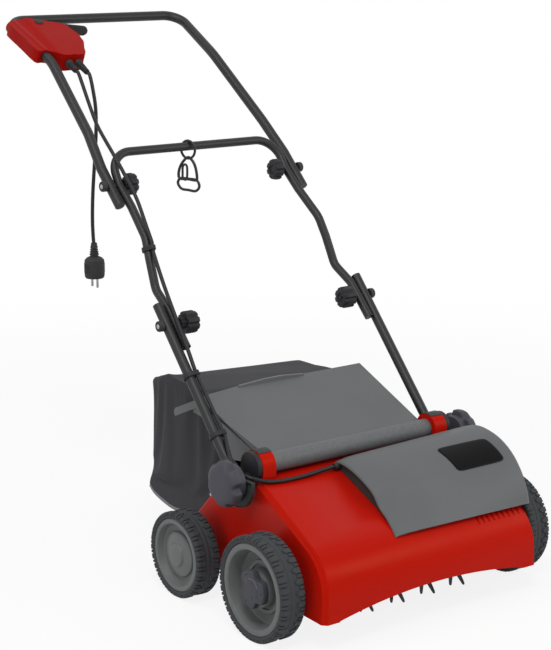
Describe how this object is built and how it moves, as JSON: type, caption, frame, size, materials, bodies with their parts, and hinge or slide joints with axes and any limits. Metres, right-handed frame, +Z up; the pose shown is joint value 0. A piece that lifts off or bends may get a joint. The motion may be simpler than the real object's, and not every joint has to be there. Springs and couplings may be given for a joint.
{
  "type": "electric lawn aerator",
  "caption": "Walk-behind lawn aerator: knife roller under a wedge-shaped deck, hood over the motor, rear flap with a cloth bag, and a folding three-part tube handle with a switch lever.",
  "frame": {"origin": "on the ground under the middle of the machine's outer box, without the hanging plug lead", "axes": "+X to the side of the motor hood (the user's left), -Y to the front, +Z up"},
  "size_m": [0.587, 1.0539, 0.955],
  "materials": {
    "red_plastic": "glossy moulded red plastic",
    "grey_plastic": "satin moulded grey plastic",
    "rim_plastic": "satin moulded grey plastic",
    "steel": "plain steel",
    "belt_rubber": "fabric-backed black rubber",
    "bag_cloth": "woven dark cloth",
    "black_paint": "gloss black paint on steel tube",
    "black_plastic": "black moulded plastic",
    "cord_rubber": "black cable sheath",
    "tyre_rubber": "moulded dark tyre with shoulder lugs",
    "knob_plastic": "satin dark grey moulded plastic"
  },
  "bodies": {
    "chassis": {"deck_housing": "red_plastic", "motor_cover": "grey_plastic", "motor": "steel", "roller_bearing_left": "steel", "roller_bearing_right": "steel", "drive_belt": "belt_rubber", "flap_hinge_rod": "steel", "flap_spring": "steel", "base_bush_left": "knob_plastic", "base_bush_right": "knob_plastic", "base_washer_left": "knob_plastic", "base_washer_right": "knob_plastic", "rear_axle": "steel", "cable_gland": "black_plastic", "motor_lead_deck": "cord_rubber"},
    "motor_shaft": {"motor_pulley": "steel"},
    "roller": {"knife_roller": "steel", "roller_pulley": "steel"},
    "flap": {"ejector_flap": "grey_plastic"},
    "bag": {"collection_bag": "bag_cloth", "bag_frame": "steel"},
    "lower_bars": {"lower_bar_left": "black_paint", "lower_bar_right": "black_paint", "lower_bolt_left": "steel", "lower_bolt_right": "steel", "cable_clip_middle": "knob_plastic", "cable_clip_lower": "knob_plastic"},
    "middle_handle": {"middle_handle": "black_paint", "cable_clip_upper": "knob_plastic", "motor_lead_lower": "cord_rubber"},
    "upper_handle": {"upper_handle": "black_paint", "upper_bolt_left": "steel", "upper_bolt_right": "steel", "switch_box": "red_plastic", "motor_lead_boot": "black_plastic", "plug_lead_boot": "black_plastic", "plug_lead": "cord_rubber", "plug": "black_plastic", "motor_lead_upper": "cord_rubber"},
    "switch_lever": {"switch_lever": "black_plastic"},
    "safety_button": {"safety_button": "black_plastic"},
    "cable_hook": {"cable_hook": "black_paint"},
    "adjuster_left": {"front_axle_left": "steel", "depth_adjuster_left": "knob_plastic"},
    "wheel_front_left": {"tyre_front_left": "tyre_rubber", "rim_front_left": "rim_plastic"},
    "wheel_rear_left": {"tyre_rear_left": "tyre_rubber", "rim_rear_left": "rim_plastic"},
    "lower_star_knob_left": {"lower_star_knob_left": "knob_plastic"},
    "upper_star_knob_left": {"upper_star_knob_left": "knob_plastic"},
    "base_knob_left": {"base_knob_left": "knob_plastic"},
    "adjuster_right": {"front_axle_right": "steel", "depth_adjuster_right": "knob_plastic"},
    "wheel_front_right": {"tyre_front_right": "tyre_rubber", "rim_front_right": "rim_plastic"},
    "wheel_rear_right": {"tyre_rear_right": "tyre_rubber", "rim_rear_right": "rim_plastic"},
    "lower_star_knob_right": {"lower_star_knob_right": "knob_plastic"},
    "upper_star_knob_right": {"upper_star_knob_right": "knob_plastic"},
    "base_knob_right": {"base_knob_right": "knob_plastic"}
  },
  "joints": [
    {"name": "roller_spin", "type": "hinge", "parent": "chassis", "child": "roller", "pos_m": [0, -0.43525, 0.083], "axis": [1, 0, 0], "continuous": true},
    {"name": "motor_spin", "type": "hinge", "parent": "chassis", "child": "motor_shaft", "pos_m": [0, -0.39725, 0.2055], "axis": [1, 0, 0], "continuous": true},
    {"name": "flap_lift", "type": "hinge", "parent": "chassis", "child": "flap", "pos_m": [0, -0.29825, 0.2515], "axis": [1, 0, 0], "range_deg": [0, 75], "stiffness_Nm_per_rad": 0.5, "springref_deg": -34.38},
    {"name": "bag_removal", "type": "slide", "parent": "chassis", "child": "bag", "axis": [0, 1, 0], "range_m": [0, 0.12]},
    {"name": "base_fold", "type": "hinge", "parent": "chassis", "child": "lower_bars", "pos_m": [0, -0.29625, 0.231], "axis": [1, 0, 0], "range_deg": [-15, 60], "deforming": ["motor_lead_deck"]},
    {"name": "middle_fold", "type": "hinge", "parent": "lower_bars", "child": "middle_handle", "pos_m": [0, -0.06925, 0.4519], "axis": [1, 0, 0], "range_deg": [0, 60], "deforming": ["motor_lead_lower"]},
    {"name": "upper_fold", "type": "hinge", "parent": "middle_handle", "child": "upper_handle", "pos_m": [0, 0.13335, 0.67], "axis": [1, 0, 0], "range_deg": [0, 120], "deforming": ["motor_lead_upper"]},
    {"name": "switch_squeeze", "type": "hinge", "parent": "upper_handle", "child": "switch_lever", "pos_m": [-0.172, 0.49438, 0.9346], "axis": [0, -0.4384, 0.8988], "range_deg": [0, 14], "stiffness_Nm_per_rad": 0.6, "springref_deg": -8.59},
    {"name": "safety_press", "type": "slide", "parent": "upper_handle", "child": "safety_button", "axis": [0, 0.4384, -0.8988], "range_m": [0, 0.004], "stiffness_N_per_m": 300, "springref_m": -0.002},
    {"name": "hook_swing", "type": "hinge", "parent": "middle_handle", "child": "cable_hook", "pos_m": [0, 0.16975, 0.7237], "axis": [1, 0, 0], "range_deg": [-35, 35]},
    {"name": "depth_setting_left", "type": "hinge", "parent": "chassis", "child": "adjuster_left", "pos_m": [-0.23, -0.41825, 0.0884], "axis": [1, 0, 0], "range_deg": [-45, 45]},
    {"name": "wheel_front_left_spin", "type": "hinge", "parent": "adjuster_left", "child": "wheel_front_left", "pos_m": [-0.27, -0.41025, 0.0884], "axis": [1, 0, 0], "continuous": true},
    {"name": "wheel_rear_left_spin", "type": "hinge", "parent": "chassis", "child": "wheel_rear_left", "pos_m": [-0.26, -0.17425, 0.0756], "axis": [1, 0, 0], "continuous": true},
    {"name": "lower_star_knob_left_turn", "type": "hinge", "parent": "lower_bars", "child": "lower_star_knob_left", "pos_m": [-0.18, -0.06925, 0.4519], "axis": [1, 0, 0], "continuous": true},
    {"name": "upper_star_knob_left_turn", "type": "hinge", "parent": "upper_handle", "child": "upper_star_knob_left", "pos_m": [-0.17, 0.13335, 0.67], "axis": [1, 0, 0], "continuous": true},
    {"name": "base_knob_left_turn", "type": "hinge", "parent": "chassis", "child": "base_knob_left", "pos_m": [-0.25, -0.29625, 0.231], "axis": [1, 0, 0], "continuous": true},
    {"name": "depth_setting_right", "type": "hinge", "parent": "chassis", "child": "adjuster_right", "pos_m": [0.23, -0.41825, 0.0884], "axis": [1, 0, 0], "range_deg": [-45, 45]},
    {"name": "wheel_front_right_spin", "type": "hinge", "parent": "adjuster_right", "child": "wheel_front_right", "pos_m": [0.27, -0.41025, 0.0884], "axis": [1, 0, 0], "continuous": true},
    {"name": "wheel_rear_right_spin", "type": "hinge", "parent": "chassis", "child": "wheel_rear_right", "pos_m": [0.26, -0.17425, 0.0756], "axis": [1, 0, 0], "continuous": true},
    {"name": "lower_star_knob_right_turn", "type": "hinge", "parent": "lower_bars", "child": "lower_star_knob_right", "pos_m": [0.18, -0.06925, 0.4519], "axis": [1, 0, 0], "continuous": true},
    {"name": "upper_star_knob_right_turn", "type": "hinge", "parent": "upper_handle", "child": "upper_star_knob_right", "pos_m": [0.17, 0.13335, 0.67], "axis": [1, 0, 0], "continuous": true},
    {"name": "base_knob_right_turn", "type": "hinge", "parent": "chassis", "child": "base_knob_right", "pos_m": [0.25, -0.29625, 0.231], "axis": [1, 0, 0], "continuous": true}
  ],
  "couplings": [
    {"joint": "motor_spin", "follows": "roller_spin", "ratio": 2.1429}
  ]
}
